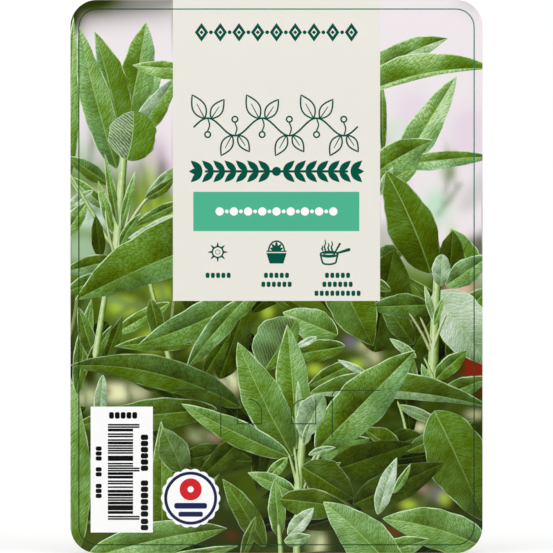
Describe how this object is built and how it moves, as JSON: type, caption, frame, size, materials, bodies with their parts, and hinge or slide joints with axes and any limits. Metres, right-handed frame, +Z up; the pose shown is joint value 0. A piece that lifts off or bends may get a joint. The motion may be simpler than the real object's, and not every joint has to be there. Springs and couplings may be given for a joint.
{
  "type": "plant label",
  "caption": "Rounded plastic card label for a herb pot, printed with sage foliage, with die-cut flaps that hang it on the pot's rim.",
  "frame": {"origin": "on the card's back face, midway between the two rim slits, at the height where the pot's rim sits", "axes": "+Z up the card, +Y out of its plain back, so the printed front faces -Y and +X is to its right"},
  "size_m": [0.108, 0.0005, 0.145],
  "materials": {
    "card_plastic": "white polypropylene card, satin, with a faint fine grain on the back",
    "print": "full-colour print under a thin clear varnish",
    "panel_ink": "warm off-white printed panel under the same varnish",
    "mark_ink": "dark green and teal printed marks under the same varnish"
  },
  "bodies": {
    "root": {"label_card": "card_plastic"}
  },
  "joints": []
}
